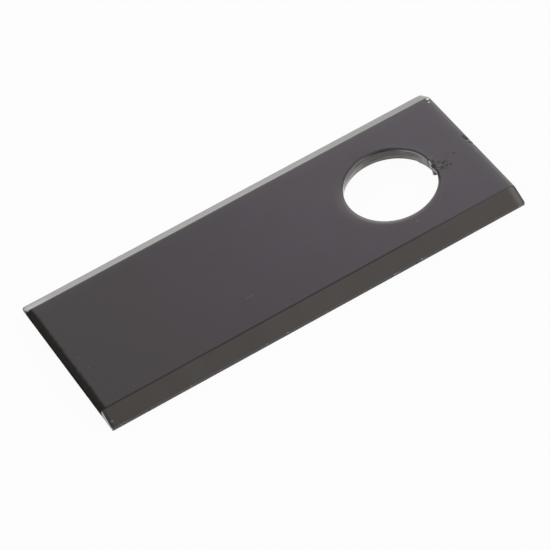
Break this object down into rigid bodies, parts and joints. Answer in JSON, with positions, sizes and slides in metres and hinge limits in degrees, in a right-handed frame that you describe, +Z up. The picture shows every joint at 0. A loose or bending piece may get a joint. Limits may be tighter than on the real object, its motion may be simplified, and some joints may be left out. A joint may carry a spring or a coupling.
{
  "type": "rotary mower blade",
  "caption": "Flat rectangular steel mower blade, bevelled along both long edges of its upper face, with a punched round pivot hole near one sheared end.",
  "frame": {"origin": "on the axis of the pivot hole, at mid thickness", "axes": "+X along the blade towards the pivot end, +Y across the blade, +Z up out of the bevelled upper face"},
  "size_m": [0.096, 0.04, 0.003],
  "materials": {
    "blade_steel": "dark hardened steel with a thin oiled oxide skin, black on the sheared ends, bare along the cutting edges"
  },
  "bodies": {
    "root": {"blade": "blade_steel"}
  },
  "joints": []
}
